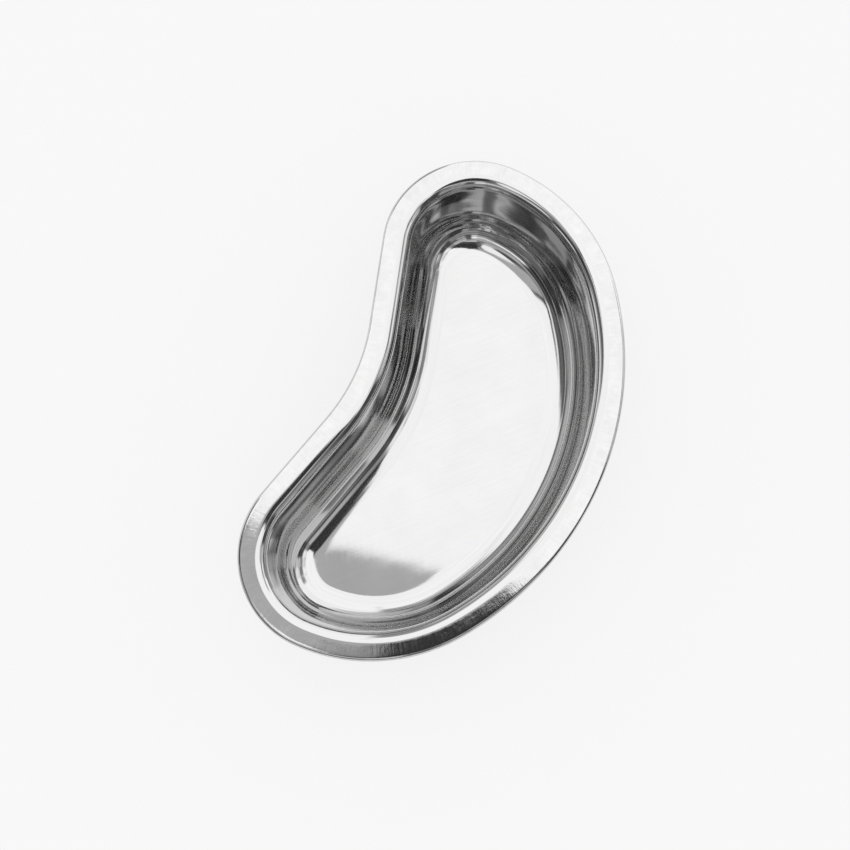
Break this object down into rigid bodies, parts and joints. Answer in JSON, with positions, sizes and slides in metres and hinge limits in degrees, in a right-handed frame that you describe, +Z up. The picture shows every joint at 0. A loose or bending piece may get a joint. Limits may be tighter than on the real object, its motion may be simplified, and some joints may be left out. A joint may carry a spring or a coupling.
{
  "type": "kidney dish",
  "caption": "Shallow kidney-shaped stainless steel dish with a flat rim flange, polished sloping walls and a flat floor, for holding instruments or collecting waste at a bedside.",
  "frame": {"origin": "on the plane that the dish stands on, under the middle of its bounding box", "axes": "+Z up; +X along the dish's length; +Y towards the convex back, so the waist faces -Y"},
  "size_m": [0.17, 0.097, 0.032],
  "materials": {
    "steel": "mirror-polished inside, satin on the rim flange, brushed satin outside"
  },
  "bodies": {
    "root": {"dish": "steel"}
  },
  "joints": []
}
